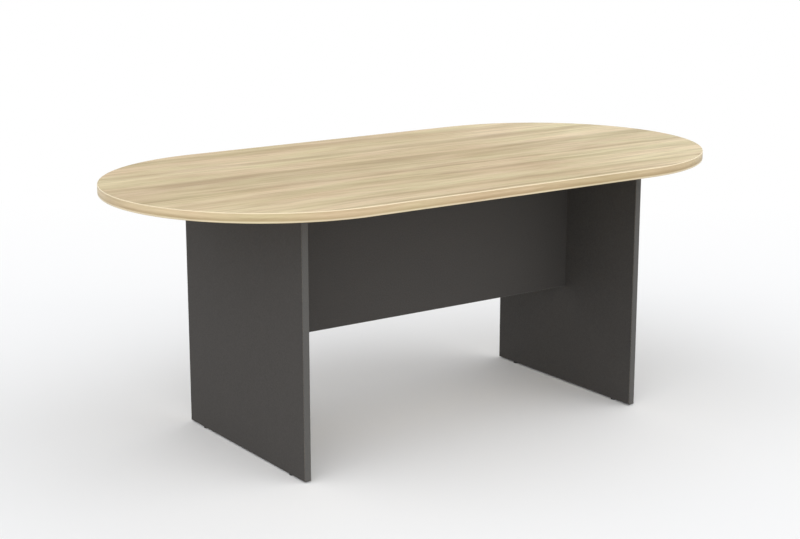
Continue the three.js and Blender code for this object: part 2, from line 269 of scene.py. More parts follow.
charcoal_melamine, tree, shader, place = new_finish("charcoal_melamine")
pearl = effect(tree, pressed_pearl, {"Vector": place, "Scale": 1100.0})
haze = effect(tree, wiped_haze, {"Vector": place})["Haze"]
wear = effect(tree, rubbed_edge, {"Vector": place, "Radius": 0.6 * MM})["Wear"]
color = tinted(tree, pearl["Fleck"], CHARCOAL, CHARCOAL_FLECK)
color = tinted(tree, worked(tree, "MULTIPLY", haze, 0.25), color, CHARCOAL_FLECK)
color = tinted(tree, worked(tree, "MULTIPLY", wear, 0.4), color, CHARCOAL_RUBBED)
set_finish(tree, shader, color, spread(tree, haze, 0, 1, 0.52, 0.64), pearl["Height"], 0.05 * MM, 0.5)
shader.inputs["Specular IOR Level"].default_value = 0.03

raw_chipboard, tree, shader, place = new_finish("raw_chipboard")
flakes = shader_node(tree, "ShaderNodeTexVoronoi", {"Vector": place, "Scale": 620.0})
flake_tone = worked(tree, "FRACT", worked(tree, "MULTIPLY", flakes.outputs["Color"], 7.0))
color = tinted(tree, flake_tone, CHIPBOARD, CHIPBOARD_FLAKE)
roughness = spread(tree, flake_tone, 0, 1, 0.8, 0.92)
set_finish(tree, shader, color, roughness, flakes.outputs["Distance"], 0.3 * MM)

for side in SIDES:
    panel = sawn_block("end_panel_" + side, *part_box(side + "_end_panel"))
    face_board(panel, X, charcoal_melamine)
    bores = []
    for end in ENDS:
        bores.append(bore(f"{side}_panel_{end}_cam", X, CAM_BORE))
        bores.append(bore(f"{side}_panel_{end}_cam_bolt", Z, SHANK_BORE))
        bores.append(bore(f"{side}_panel_{end}_dowel", Z, DOWEL_BORE))
        bores.append(bore(f"{side}_{end}_foot_insert", Z, INSERT_BORE))
        bores.append(bore(f"{side}_{end}_foot_stud", Z, STUD_BORE))
    for level in LEVELS:
        bores.append(bore(f"modesty_{side}_{level}_cam_bolt", X, PILOT_BORE))
        bores.append(bore(f"modesty_{side}_{level}_dowel", X, DOWEL_BORE))
    drill(panel, bores, raw_chipboard)
    fit(panel, side + "_end_panel", "table")


# Edging of the end panels: charcoal ABS tape, 2 mm on the front and rear edges and 1 mm underneath.
# An edge bander glues it on, trims it flush with the faces and rounds its two outer arrises,
# and the bottom tape is drilled through for the feet.

PANEL_ARRIS = 1.5 * MM
BOTTOM_ARRIS = 0.6 * MM
ARRIS_STEPS = 5
TAPE = (0.090, 0.087, 0.083, 1)
TAPE_FLECK = (0.106, 0.103, 0.098, 1)
TAPE_RUBBED = (0.160, 0.155, 0.148, 1)

charcoal_tape, tree, shader, place = new_finish("charcoal_tape")
pearl = effect(tree, pressed_pearl, {"Vector": place, "Scale": 1500.0})
haze = effect(tree, wiped_haze, {"Vector": place})["Haze"]
wear = effect(tree, rubbed_edge, {"Vector": place, "Radius": 1.2 * MM})["Wear"]
color = tinted(tree, pearl["Fleck"], TAPE, TAPE_FLECK)
color = tinted(tree, worked(tree, "MULTIPLY", wear, 0.5), color, TAPE_RUBBED)
set_finish(tree, shader, color, spread(tree, haze, 0, 1, 0.46, 0.58), pearl["Height"], 0.04 * MM, 0.5)
shader.inputs["Specular IOR Level"].default_value = 0.08


# Tape on one edge of a board: it faces out along one axis, runs along another, and its outer arrises are rounded
def edging_tape(name, node, faces, outward, runs, arris):
    low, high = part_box(node)
    tape = sawn_block(name, low, high)
    outer = high[faces] if outward > 0 else low[faces]
    points = tape.data.vertices

    def outer_arris(edge):
        first, second = (points[index].co for index in edge.vertices)
        lengthwise = abs((second - first)[runs]) > 0.1
        return lengthwise and abs(first[faces] - outer) < 0.1 * MM and abs(second[faces] - outer) < 0.1 * MM

    pick(tape, "EDGE", outer_arris)
    bpy.ops.mesh.bevel(offset=arris, segments=ARRIS_STEPS, profile=0.5)
    put_down()
    tape.data.materials.append(charcoal_tape)
    shade_round(tape)
    fit(tape, node, "table")
    return tape


for side in SIDES:
    edging_tape("tape_front_" + side, side + "_front_edging", Y, -1, Z, PANEL_ARRIS)
    edging_tape("tape_rear_" + side, side + "_rear_edging", Y, 1, Z, PANEL_ARRIS)
    bottom_tape = edging_tape("tape_bottom_" + side, side + "_bottom_edging", Z, -1, Y, BOTTOM_ARRIS)
    tape_holes = [bore(f"{side}_{end}_foot_insert", Z, INSERT_BORE) for end in ENDS]
    drill(bottom_tape, tape_holes, charcoal_tape)


# Insert nuts: small zinc die castings with three barbs, pressed up into the bottom edges of the end panels.
# They hold the threaded studs of the feet.

TURNED_STEPS = 48
INSERT_RADIUS = 5.0 * MM
INSERT_HOLE = 3.15 * MM
INSERT_BARB = 0.5 * MM
INSERT_BARBS = 3
INSERT_CHAMFER = 0.3 * MM
ZINC = (0.50, 0.51, 0.53, 1)
ZINC_BRIGHT = (0.68, 0.69, 0.71, 1)
ZINC_DULL = (0.30, 0.31, 0.33, 1)

# Grain of bare metal: fine casting pores, and clouds of brighter and duller skin
metal_skin, takes, gives = effect_group(
    "metal_skin", {"Vector": "Vector", "Scale": "Float"}, {"Pores": "Float", "Clouds": "Float"}
)
metal_skin.links.new(clouds(metal_skin, takes["Vector"], takes["Scale"], 3.0, 0.6), gives["Pores"])
skin = clouds(metal_skin, takes["Vector"], worked(metal_skin, "MULTIPLY", takes["Scale"], 0.08), 3.0)
metal_skin.links.new(spread(metal_skin, skin, 0.3, 0.7, 0, 1), gives["Clouds"])


def bare_metal(name, dull, plain, bright, scale, roughness_low, roughness_high, depth):
    metal, tree, shader, place = new_finish(name)
    skin = effect(tree, metal_skin, {"Vector": place, "Scale": scale})
    wear = effect(tree, rubbed_edge, {"Vector": place, "Radius": 0.3 * MM})["Wear"]
    color = tinted(tree, skin["Clouds"], dull, plain)
    color = tinted(tree, wear, color, bright)
    roughness = spread(tree, skin["Clouds"], 0, 1, roughness_high, roughness_low)
    set_finish(tree, shader, color, roughness, skin["Pores"], depth, 0.6)
    shader.inputs["Metallic"].default_value = 1.0
    return metal


cast_zinc = bare_metal("cast_zinc", ZINC_DULL, ZINC, ZINC_BRIGHT, 2600.0, 0.36, 0.52, 0.05 * MM)


# Draws an outline of radius and height step by step and spins it round the upright axis
def turned(name, outline):
    deselect_all()
    bpy.ops.mesh.primitive_plane_add(size=1 * MM, location=(0, 0, 0))
    piece = bpy.context.object
    piece.name = name
    bpy.ops.object.mode_set(mode="EDIT")
    bpy.ops.mesh.select_mode(type="VERT")
    bpy.ops.mesh.select_all(action="SELECT")
    bpy.ops.mesh.merge(type="CENTER")
    last = Vector((outline[0][0], 0, outline[0][1]))
    bpy.ops.transform.translate(value=last)
    for radius, height in outline[1:]:
        here = Vector((radius, 0, height))
        bpy.ops.mesh.extrude_vertices_move(TRANSFORM_OT_translate={"value": here - last})
        last = here
    bpy.ops.mesh.select_all(action="SELECT")
    bpy.ops.mesh.spin(steps=TURNED_STEPS, angle=2 * math.pi, center=(0, 0, 0), axis=(0, 0, 1))
    bpy.ops.mesh.select_all(action="SELECT")
    bpy.ops.mesh.remove_doubles(threshold=0.001 * MM)
    bpy.ops.mesh.normals_make_consistent(inside=False)
    put_down()
    return piece


def copy_to(master, name, matrix):
    piece = master.copy()
    piece.data = master.data.copy()
    piece.name = name
    piece.data.transform(matrix)
    bpy.context.scene.collection.objects.link(piece)
    return piece


# Gives a whole piece one finish, whatever its cutters left behind
def dress(piece, finish):
    piece.data.materials.clear()
    piece.data.materials.append(finish)
    for polygon in piece.data.polygons:
        polygon.material_index = 0
    shade_round(piece)


def foot_places():
    for side in SIDES:
        for end in ENDS:
            low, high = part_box(f"{side}_{end}_foot")
            yield f"{side}_{end}", Matrix.Translation(((low.x + high.x) / 2, (low.y + high.y) / 2, 0))


insert_low, insert_high = (corner.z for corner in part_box("left_front_foot_insert"))
barb_length = (insert_high - insert_low) / INSERT_BARBS
outline = [(INSERT_HOLE + INSERT_CHAMFER, insert_low), (INSERT_RADIUS, insert_low)]
for barb in range(1, INSERT_BARBS + 1):
    tip = insert_low + barb * barb_length
    outline.append((INSERT_RADIUS - INSERT_BARB, tip))
    if barb < INSERT_BARBS:
        outline.append((INSERT_RADIUS, tip))
outline.append((INSERT_HOLE + INSERT_CHAMFER, insert_high))
outline.append((INSERT_HOLE, insert_high - INSERT_CHAMFER))
outline.append((INSERT_HOLE, insert_low + INSERT_CHAMFER))
outline.append(outline[0])
insert_nut = turned("insert_nut", outline)
dress(insert_nut, cast_zinc)
for foot, matrix in foot_places():
    insert = copy_to(insert_nut, "insert_nut_" + foot, matrix)
    fit(insert, foot + "_foot_insert", "table")
bpy.data.objects.remove(insert_nut)


# Foot studs: zinc-plated steel rods with a rolled M6 thread and chamfered ends.
# Each is moulded into its foot and screws up into the insert nut to level the table.

STUD_RADIUS = 3.0 * MM
STUD_ROOT = 2.45 * MM
STUD_PITCH = 1.0 * MM
STUD_CHAMFER = 0.7 * MM
STUD_STEPS = 25
STUD_LEAD = 2.37
THREAD_SPARE = 0.1 * MM
STEEL_DULL = (0.44, 0.45, 0.46, 1)
STEEL = (0.62, 0.62, 0.61, 1)
STEEL_BRIGHT = (0.78, 0.78, 0.77, 1)

plated_steel = bare_metal("plated_steel", STEEL_DULL, STEEL, STEEL_BRIGHT, 4200.0, 0.24, 0.38, 0.02 * MM)


# Winds one tooth of thread up the axis, closes both ends and trims it to length in a chamfered blank
def threaded_rod(name, steps, lead, crest, root, pitch, ends, chamfers):
    low, high = ends
    low_chamfer, high_chamfer = chamfers
    deselect_all()
    bpy.ops.mesh.primitive_plane_add(size=1 * MM, location=(0, 0, 0))
    rod = bpy.context.object
    rod.name = name
    bpy.ops.object.mode_set(mode="EDIT")
    bpy.ops.mesh.select_mode(type="VERT")
    bpy.ops.mesh.select_all(action="SELECT")
    bpy.ops.mesh.merge(type="CENTER")
    bpy.ops.transform.translate(value=(root, 0, low - lead * pitch))
    for outward, upward in ((crest - root, 0.42 * pitch), (0, 0.16 * pitch), (root - crest, 0.42 * pitch)):
        bpy.ops.mesh.extrude_vertices_move(TRANSFORM_OT_translate={"value": (outward, 0, upward)})
    put_down()
    screw = rod.modifiers.new("winding", "SCREW")
    screw.axis = "Z"
    screw.angle = 2 * math.pi
    screw.screw_offset = pitch
    screw.iterations = math.ceil((high - low) / pitch) + 5
    screw.steps = steps
    screw.render_steps = steps
    finish_modifier(rod, screw)
    bpy.ops.object.mode_set(mode="EDIT")
    bpy.ops.mesh.select_all(action="SELECT")
    bpy.ops.mesh.remove_doubles(threshold=0.001 * MM)
    for height, upward in ((low - pitch / 2, 1), (high + pitch / 2, -1)):
        bpy.ops.mesh.select_all(action="SELECT")
        bpy.ops.mesh.bisect(
            plane_co=(0, 0, height), plane_no=(0, 0, upward), use_fill=True, clear_inner=True
        )
    bpy.ops.mesh.select_all(action="SELECT")
    bpy.ops.mesh.normals_make_consistent(inside=False)
    put_down()
    widest = crest + THREAD_SPARE
    blank = turned(
        "blank",
        [
            (0, low),
            (crest - low_chamfer, low),
            (widest, low + low_chamfer + THREAD_SPARE),
            (widest, high - high_chamfer - THREAD_SPARE),
            (crest - high_chamfer, high),
            (0, high),
        ],
    )
    carve(rod, blank, "INTERSECT")
    return rod


stud_low, stud_high = (corner.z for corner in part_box("left_front_foot_stud"))
stud_ends = (stud_low, stud_high)
stud_chamfers = (STUD_CHAMFER, STUD_CHAMFER)
stud_master = threaded_rod(
    "stud_master", STUD_STEPS, STUD_LEAD, STUD_RADIUS, STUD_ROOT, STUD_PITCH, stud_ends, stud_chamfers
)
dress(stud_master, plated_steel)
for foot, matrix in foot_places():
    stud = copy_to(stud_master, "stud_" + foot, matrix)
    fit(stud, foot + "_foot_stud", foot + "_stud")
bpy.data.objects.remove(stud_master)


# Feet: round pads of black nylon with a softened rim and a low hexagon for a spanner.
# Each is injection moulded round the lower end of its stud and carries one corner of the table.

FOOT_RADIUS = 9.0 * MM
FOOT_HEX = 14.0 * MM
FOOT_HEX_HEIGHT = 1.5 * MM
FOOT_SOCKET = 3.15 * MM
FOOT_RIM = 1.0 * MM
FOOT_GATE = 1.2 * MM
FOOT_GATE_DEPTH = 0.25 * MM
RIM_STEPS = 6
NYLON = (0.012, 0.012, 0.013, 1)
NYLON_WORN = (0.045, 0.044, 0.043, 1)

black_nylon, tree, shader, place = new_finish("black_nylon")
pearl = effect(tree, pressed_pearl, {"Vector": place, "Scale": 2400.0})
haze = effect(tree, wiped_haze, {"Vector": place})["Haze"]
wear = effect(tree, rubbed_edge, {"Vector": place, "Radius": 0.6 * MM})["Wear"]
color = tinted(tree, worked(tree, "MULTIPLY", pearl["Fleck"], 0.2), NYLON, NYLON_WORN)
color = tinted(tree, wear, color, NYLON_WORN)
set_finish(tree, shader, color, spread(tree, haze, 0, 1, 0.48, 0.62), pearl["Height"], 0.05 * MM, 0.6)

foot_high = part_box("left_front_foot")[1].z
hex_low = foot_high - FOOT_HEX_HEIGHT
outline = [(0, FOOT_GATE_DEPTH), (FOOT_GATE, FOOT_GATE_DEPTH), (FOOT_GATE, 0)]
for step in range(RIM_STEPS + 1):
    angle = math.pi / 2 * step / RIM_STEPS
    outline.append((FOOT_RADIUS - FOOT_RIM + FOOT_RIM * math.sin(angle), FOOT_RIM - FOOT_RIM * math.cos(angle)))
outline.append((FOOT_RADIUS, hex_low - 0.3 * MM))
outline.append((FOOT_RADIUS - 0.3 * MM, hex_low))
outline.append((0, hex_low))
foot_master = turned("foot_master", outline)
deselect_all()
bpy.ops.mesh.primitive_cylinder_add(
    vertices=6, radius=FOOT_HEX / math.sqrt(3), depth=2 * FOOT_HEX_HEIGHT, location=(0, 0, hex_low)
)
hexagon = settle(bpy.context.object, "hexagon")
pick(hexagon, "EDGE", lambda edge: all(hexagon.data.vertices[i].co.z > hex_low for i in edge.vertices))
bpy.ops.mesh.bevel(offset=0.3 * MM, segments=2, profile=0.5)
put_down()
carve(foot_master, hexagon, "UNION")
carve(foot_master, turned("socket", [(0, stud_low - 0.2 * MM), (FOOT_SOCKET, stud_low - 0.2 * MM),
                                     (FOOT_SOCKET, foot_high + 1 * MM), (0, foot_high + 1 * MM)]))
dress(foot_master, black_nylon)
for foot, matrix in foot_places():
    pad = copy_to(foot_master, "foot_pad_" + foot, matrix)
    fit(pad, foot + "_foot", foot + "_foot")
bpy.data.objects.remove(foot_master)


# Modesty panel: the third charcoal board, which stands between the end panels and stiffens the frame.
# Cams in its rear face draw it against both end panels and up against the top,
# and its lower edge has a 1 mm tape.

modesty = sawn_block("modesty_board", *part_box("modesty_panel"))
face_board(modesty, Y, charcoal_melamine)
bores = []
for side in SIDES:
    bores.append(bore(f"modesty_top_{side}_cam", Y, CAM_BORE))
    bores.append(bore(f"modesty_top_{side}_cam_bolt", Z, SHANK_BORE))
    for level in LEVELS:
        bores.append(bore(f"modesty_{side}_{level}_cam", Y, CAM_BORE))
        bores.append(bore(f"modesty_{side}_{level}_cam_bolt", X, SHANK_BORE))
        bores.append(bore(f"modesty_{side}_{level}_dowel", X, DOWEL_BORE))
drill(modesty, bores, raw_chipboard)
fit(modesty, "modesty_panel", "table")
edging_tape("tape_modesty", "modesty_bottom_edging", Z, -1, X, BOTTOM_ARRIS)


# Cam bolts: zinc-plated steel pins with a coarse board thread, a plain shank, a thin neck and a ball head.
# The thread is driven into the face of one board, and the head reaches into the cam of the other.

BOLT_CREST = 3.0 * MM
BOLT_ROOT = 2.15 * MM
BOLT_PITCH = 2.2 * MM
BOLT_THREAD = 11.0 * MM
BOLT_STEPS = 24
BOLT_LEAD = 2.36
BOLT_SHOULDER = 0.2 * MM
BOLT_SHANK = 3.5 * MM
BOLT_SHANK_END = 26.0 * MM
BOLT_NECK = 1.9 * MM
BOLT_HEAD = 3.2 * MM
BOLT_REACH = 34.0 * MM
BOLT_CHAMFER = 0.8 * MM
HEAD_STEPS = 14
CROSS_SPAN = 3.0 * MM
CROSS_WIDTH = 0.8 * MM
CROSS_DEPTH = 1.3 * MM


# Cross recess for a screwdriver, narrower at its floor, cut down from a height on the axis
def cross_recess(piece, span, width, depth, top):
    for length, breadth in ((span, width), (width, span)):
        half = Vector((length / 2, breadth / 2, 0))
        low = -half + Vector((0, 0, top - depth))
        high = half + Vector((0, 0, top + 1 * MM))
        wing = sawn_block("wing", low, high)
        floor = top - depth
        pick(wing, "FACE", lambda face: abs(face.center.z - floor) < 0.01 * MM)
        bpy.ops.transform.resize(value=(0.72, 0.72, 1))
        put_down()
        carve(piece, wing)


bolt_ends = (-BOLT_THREAD, BOLT_SHOULDER + 0.5 * MM)
bolt_chamfers = (BOLT_CHAMFER, 0)
bolt_master = threaded_rod(
    "bolt_master", BOLT_STEPS, BOLT_LEAD, BOLT_CREST, BOLT_ROOT, BOLT_PITCH, bolt_ends, bolt_chamfers
)
outline = [
    (0, BOLT_SHOULDER),
    (BOLT_SHANK - 0.2 * MM, BOLT_SHOULDER),
    (BOLT_SHANK, BOLT_SHOULDER + 0.2 * MM),
    (BOLT_SHANK, BOLT_SHANK_END - BOLT_CHAMFER),
    (BOLT_NECK + 0.3 * MM, BOLT_SHANK_END),
    (BOLT_NECK, BOLT_SHANK_END + 0.4 * MM),
]
neck_angle = math.asin(BOLT_NECK / BOLT_HEAD)
for step in range(HEAD_STEPS):
    angle = neck_angle + (math.pi - neck_angle) * step / HEAD_STEPS
    outline.append((BOLT_HEAD * math.sin(angle), BOLT_REACH - BOLT_HEAD * math.cos(angle)))
outline.append((0, BOLT_REACH + BOLT_HEAD))
carve(bolt_master, turned("shank_and_head", outline), "UNION")
cross_recess(bolt_master, CROSS_SPAN, CROSS_WIDTH, CROSS_DEPTH, BOLT_REACH + BOLT_HEAD)
dress(bolt_master, plated_steel)

# Each fitting: its name, which way its bolt points into the drilled edge, and which way its cam faces
LEFT, RIGHT, REAR = Vector((-1, 0, 0)), Vector((1, 0, 0)), Vector((0, 1, 0))
DOWN = Vector((0, 0, -1))
fittings = []
for side, inward in (("left", RIGHT), ("right", LEFT)):
    for level in LEVELS:
        fittings.append((f"modesty_{side}_{level}", inward, REAR))
    fittings.append((f"modesty_top_{side}", DOWN, REAR))
    for end in ENDS:
        fittings.append((f"{side}_panel_{end}", DOWN, inward))


# Matrix that lays a piece's upright axis and its level axis along two directions, at a place
def laid(upright, level, place):
    across = upright.cross(level)
    turn = Matrix((level, across, upright)).transposed()
    return Matrix.Translation(place) @ turn.to_4x4()


def box_end(node, direction):
    low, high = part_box(node)
    half = (high - low) / 2
    return (low + high) / 2 + Vector(a * b for a, b in zip(half, direction))


for name, pointing, facing in fittings:
    tip = box_end(name + "_cam_bolt", -pointing)
    matrix = laid(pointing, facing, tip + pointing * BOLT_THREAD)
    bolt = copy_to(bolt_master, "cam_bolt_" + name, matrix)
    fit(bolt, name + "_cam_bolt", "table")
bpy.data.objects.remove(bolt_master)


# Cams: zinc die castings that sit in round pockets and grip the ball heads of the bolts.
# A spiral chamber draws the head in as the cam turns: the neck runs in a slot half round the wall,
# which ends in a notch that lets the head out, and the face has a cross recess and a sunk arrow.

CAM_RADIUS = 7.35 * MM
CAM_CHAMFER = 0.3 * MM
CAM_SIDES = 60
BOLT_DEPTH = 8.7 * MM
CHAMBER_RADIUS = 3.55 * MM
CHAMBER_DRAW = 1.9 * MM
SLOT_HALF = 2.25 * MM
NOTCH_HALF = 3.375 * MM
DRIVER_SPAN = 7.0 * MM
DRIVER_WIDTH = 1.5 * MM
DRIVER_DEPTH = 2.6 * MM
ARROW_RADIUS = 1.1 * MM
ARROW_PLACE = 5.4 * MM
ARROW_DEPTH = 0.25 * MM

cam_floor = -BOLT_DEPTH - CHAMBER_RADIUS
deselect_all()
bpy.ops.mesh.primitive_cylinder_add(
    vertices=CAM_SIDES, radius=CAM_RADIUS, depth=-cam_floor, location=(0, 0, cam_floor / 2)
)
cam_master = settle(bpy.context.object, "cam_master")
pick(cam_master, "EDGE", lambda edge: all(cam_master.data.vertices[i].co.z > -CAM_CHAMFER for i in edge.vertices))
bpy.ops.mesh.bevel(offset=CAM_CHAMFER, segments=2, profile=0.5)
put_down()

deselect_all()
bpy.ops.mesh.primitive_circle_add(
    vertices=CAM_SIDES, radius=1 * MM, fill_type="NGON", location=(0, 0, CHAMBER_RADIUS - BOLT_DEPTH)
)
chamber = settle(bpy.context.object, "chamber")
for vertex in chamber.data.vertices:
    angle = math.atan2(vertex.co.y, vertex.co.x)
    radius = CHAMBER_RADIUS + CHAMBER_DRAW * abs(angle) / math.pi
    vertex.co.x = radius * math.cos(angle)
    vertex.co.y = radius * math.sin(angle)
pick(chamber, "FACE", lambda face: True)
bpy.ops.mesh.extrude_region_move(TRANSFORM_OT_translate={"value": (0, 0, -10 * MM)})
bpy.ops.mesh.select_all(action="SELECT")
bpy.ops.mesh.normals_make_consistent(inside=False)
put_down()
carve(cam_master, chamber)

deselect_all()
bpy.ops.mesh.primitive_cylinder_add(
    vertices=CAM_SIDES, radius=CAM_RADIUS + 1 * MM, depth=2 * SLOT_HALF, location=(0, 0, -BOLT_DEPTH)
)
slot = settle(bpy.context.object, "slot")
pick(slot, "FACE", lambda face: True)
bpy.ops.mesh.bisect(plane_co=(0, 0, 0), plane_no=(0, 1, 0), use_fill=True, clear_outer=True)
put_down()
carve(cam_master, slot)
slot_low = Vector((0, -1 * MM, -BOLT_DEPTH - SLOT_HALF))
slot_high = Vector((CAM_RADIUS + 1 * MM, SLOT_HALF, SLOT_HALF - BOLT_DEPTH))
carve(cam_master, sawn_block("slot_end", slot_low, slot_high))

notch_low = Vector((-CAM_RADIUS - 1 * MM, -NOTCH_HALF, cam_floor - 1 * MM))
notch_high = Vector((0, NOTCH_HALF, -BOLT_DEPTH))
carve(cam_master, sawn_block("notch", notch_low, notch_high))
deselect_all()
bpy.ops.mesh.primitive_cylinder_add(
    vertices=BORE_SIDES,
    radius=NOTCH_HALF,
    depth=CAM_RADIUS + 1 * MM,
    location=(-(CAM_RADIUS + 1 * MM) / 2, 0, -BOLT_DEPTH),
    rotation=(0, math.pi / 2, 0),
)
carve(cam_master, settle(bpy.context.object, "notch_crown"))

cross_recess(cam_master, DRIVER_SPAN, DRIVER_WIDTH, DRIVER_DEPTH, 0)
deselect_all()
bpy.ops.mesh.primitive_cylinder_add(
    vertices=3,
    radius=ARROW_RADIUS,
    depth=2 * ARROW_DEPTH,
    location=(ARROW_PLACE, 0, 0),
    rotation=(0, 0, -math.pi / 2),
)
carve(cam_master, settle(bpy.context.object, "arrow"))
dress(cam_master, cast_zinc)

for name, pointing, facing in fittings:
    matrix = laid(facing, -pointing, box_end(name + "_cam", facing))
    cam = copy_to(cam_master, "cam_" + name, matrix)
    fit(cam, name + "_cam", name + "_cam")
bpy.data.objects.remove(cam_master)


# Dowels: fluted beech pins that keep the boards in line beside the cam fittings.
# They are cut from rod, chamfered at both ends and pressed into their holes with a little glue.

DOWEL_RADIUS = 4.0 * MM
DOWEL_FLUTE = 0.35 * MM
DOWEL_LENGTH = 35.0 * MM
DOWEL_CHAMFER = 1.0 * MM
DOWEL_SIDES = 48
BEECH = (0.56, 0.36, 0.19, 1)
BEECH_PALE = (0.70, 0.50, 0.30, 1)
BEECH_FLECK = (0.36, 0.20, 0.09, 1)


def plain_beech(name, along):
    beech, tree, shader, place = new_finish(name)
    fibres = clouds(tree, stretched(tree, place, along), 40.0, 4.0, 0.6)
    rays = spread(tree, clouds(tree, stretched(tree, place, along), 90.0, 1.0), 0.6, 0.72, 0, 0.8)
    color = tinted(tree, spread(tree, fibres, 0.3, 0.7, 0, 1), BEECH, BEECH_PALE)
    color = tinted(tree, rays, color, BEECH_FLECK)
    set_finish(tree, shader, color, spread(tree, fibres, 0, 1, 0.6, 0.78), fibres, 0.1 * MM)
    return beech


beech_along = {X: plain_beech("beech_level", (1, 14, 14)), Z: plain_beech("beech_upright", (14, 14, 1))}
deselect_all()
bpy.ops.mesh.primitive_cylinder_add(vertices=DOWEL_SIDES, radius=DOWEL_RADIUS, depth=DOWEL_LENGTH)
dowel_master = settle(bpy.context.object, "dowel_master")
for vertex in dowel_master.data.vertices:
    step = round(math.atan2(vertex.co.y, vertex.co.x) / (2 * math.pi) * DOWEL_SIDES)
    if step % 2:
        flute = 1 - DOWEL_FLUTE / DOWEL_RADIUS
        vertex.co.x *= flute
        vertex.co.y *= flute
pick(dowel_master, "FACE", lambda face: abs(face.normal.z) > 0.9)
bpy.ops.mesh.inset(thickness=DOWEL_CHAMFER / 2)
put_down()
for vertex in dowel_master.data.vertices:
    if math.hypot(vertex.co.x, vertex.co.y) > DOWEL_RADIUS - DOWEL_FLUTE - DOWEL_CHAMFER / 4:
        vertex.co.z -= math.copysign(DOWEL_CHAMFER, vertex.co.z)
for name, pointing, facing in fittings:
    if name.startswith("modesty_top"):
        continue
    low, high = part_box(name + "_dowel")
    dowel = copy_to(dowel_master, "dowel_" + name, laid(pointing, facing, (low + high) / 2))
    dowel.data.materials.append(beech_along[Z if pointing == DOWN else X])
    fit(dowel, name + "_dowel", "table")
bpy.data.objects.remove(dowel_master)


# Table top: one 25 mm particle board, faced above and below with light oak melamine, grain lengthwise.
# A router cuts the racetrack outline, and the underside is bored for the bolts and dowels of the frame.

ROUND_STEPS = 192
OAK_PALE = (0.792, 0.688, 0.460, 1)
OAK = (0.583, 0.463, 0.286, 1)
OAK_DEEP = (0.295, 0.203, 0.102, 1)
ROSY_TINT = (1.032, 0.984, 1.008, 1)
STRAW_TINT = (0.982, 1.016, 0.970, 1)
# Strong growth lines of the decor: place across the top, half width of the sharp side,
# length of the fade on the other side (forward of the line, or behind it where negative), strength
GROWTH_LINES = (
    (0.398, 0.015, 0.070, 0.40),
    (0.236, 0.018, 0.050, 0.80),
    (0.078, 0.012, 0.140, 0.70),
    (-0.116, 0.005, -0.022, 0.45),
    (-0.112, 0.006, -0.110, 0.40),
    (-0.184, 0.008, 0.040, 0.55),
    (-0.356, 0.007, 0.024, 0.62),
    (-0.431, 0.006, 0.020, 0.90),
)

# Oak decor: growth lines that break sharply on one side and fade on the other,
# over soft bands and patches, short flecks, fibres and pores
oak_decor, takes, gives = effect_group(
    "oak_decor", {"Vector": "Vector", "Pale": "Float"}, {"Color": "Color", "Pores": "Float"}
)
axes = shader_node(oak_decor, "ShaderNodeSeparateXYZ", {0: takes["Vector"]}).outputs
drift = clouds(oak_decor, stretched(oak_decor, takes["Vector"], (1.6, 5, 5)), 1.0, 2.0)
waver = clouds(oak_decor, stretched(oak_decor, takes["Vector"], (4, 14, 14)), 1.0, 2.0)
wander = worked(oak_decor, "MULTIPLY", worked(oak_decor, "SUBTRACT", drift, 0.5), 0.03)
quiver = worked(oak_decor, "MULTIPLY", worked(oak_decor, "SUBTRACT", waver, 0.5), 0.010)
across = worked(oak_decor, "ADD", axes["Y"], worked(oak_decor, "ADD", wander, quiver))
along_grain = {0: axes["X"], 1: across, 2: axes["Z"]}
lengthwise = shader_node(oak_decor, "ShaderNodeCombineXYZ", along_grain).outputs[0]
patches = clouds(oak_decor, stretched(oak_decor, lengthwise, (1.8, 7, 7)), 1.0, 2.0)
bands = clouds(oak_decor, stretched(oak_decor, lengthwise, (0.5, 15, 15)), 1.0, 3.0)
streaks = clouds(oak_decor, stretched(oak_decor, lengthwise, (2.2, 70, 70)), 1.0, 4.0, 0.55)
flecks = clouds(oak_decor, stretched(oak_decor, lengthwise, (7, 95, 95)), 1.0, 3.0, 0.55)
fibres = clouds(oak_decor, stretched(oak_decor, lengthwise, (9, 420, 420)), 1.0, 3.0, 0.6)
pores = clouds(oak_decor, stretched(oak_decor, lengthwise, (26, 900, 900)), 1.0, 1.0)
hue = clouds(oak_decor, stretched(oak_decor, lengthwise, (3, 14, 14)), 1.0, 3.0)
fading = clouds(oak_decor, stretched(oak_decor, takes["Vector"], (3.2, 9, 9)), 1.0, 2.0)
lines = None
for line_place, sharp, fade, strength in GROWTH_LINES:
    behind = worked(oak_decor, "SUBTRACT", line_place, across)
    near = math.copysign(sharp, fade)
    rise = spread(oak_decor, behind, -near, near, 0, strength)
    fall = spread(oak_decor, behind, 0, fade, 1, 0)
    line = worked(oak_decor, "MULTIPLY", rise, fall)
    lines = line if lines is None else worked(oak_decor, "ADD", lines, line)
lines = worked(oak_decor, "MULTIPLY", lines, spread(oak_decor, fading, 0.35, 0.65, 0.35, 1))
pale_bands = spread(oak_decor, bands, 0.35, 0.70, 0, 0.4)
pale = worked(oak_decor, "ADD", pale_bands, spread(oak_decor, patches, 0.35, 0.65, 0, 0.3))
color = tinted(oak_decor, worked(oak_decor, "ADD", pale, takes["Pale"]), OAK, OAK_PALE)
tint = tinted(oak_decor, spread(oak_decor, hue, 0.38, 0.62, 0, 1), STRAW_TINT, ROSY_TINT)
color = tinted(oak_decor, 1.0, color, tint, "MULTIPLY")
color = tinted(oak_decor, spread(oak_decor, streaks, 0.45, 0.75, 0, 0.29), color, OAK_DEEP)
color = tinted(oak_decor, spread(oak_decor, flecks, 0.45, 0.75, 0, 0.40), color, OAK_DEEP)
color = tinted(oak_decor, lines, color, OAK_DEEP)
color = tinted(oak_decor, spread(oak_decor, fibres, 0.3, 0.7, 0, 0.2), color, OAK_DEEP)
pore_mask = spread(oak_decor, pores, 0.62, 0.72, 0, 1)
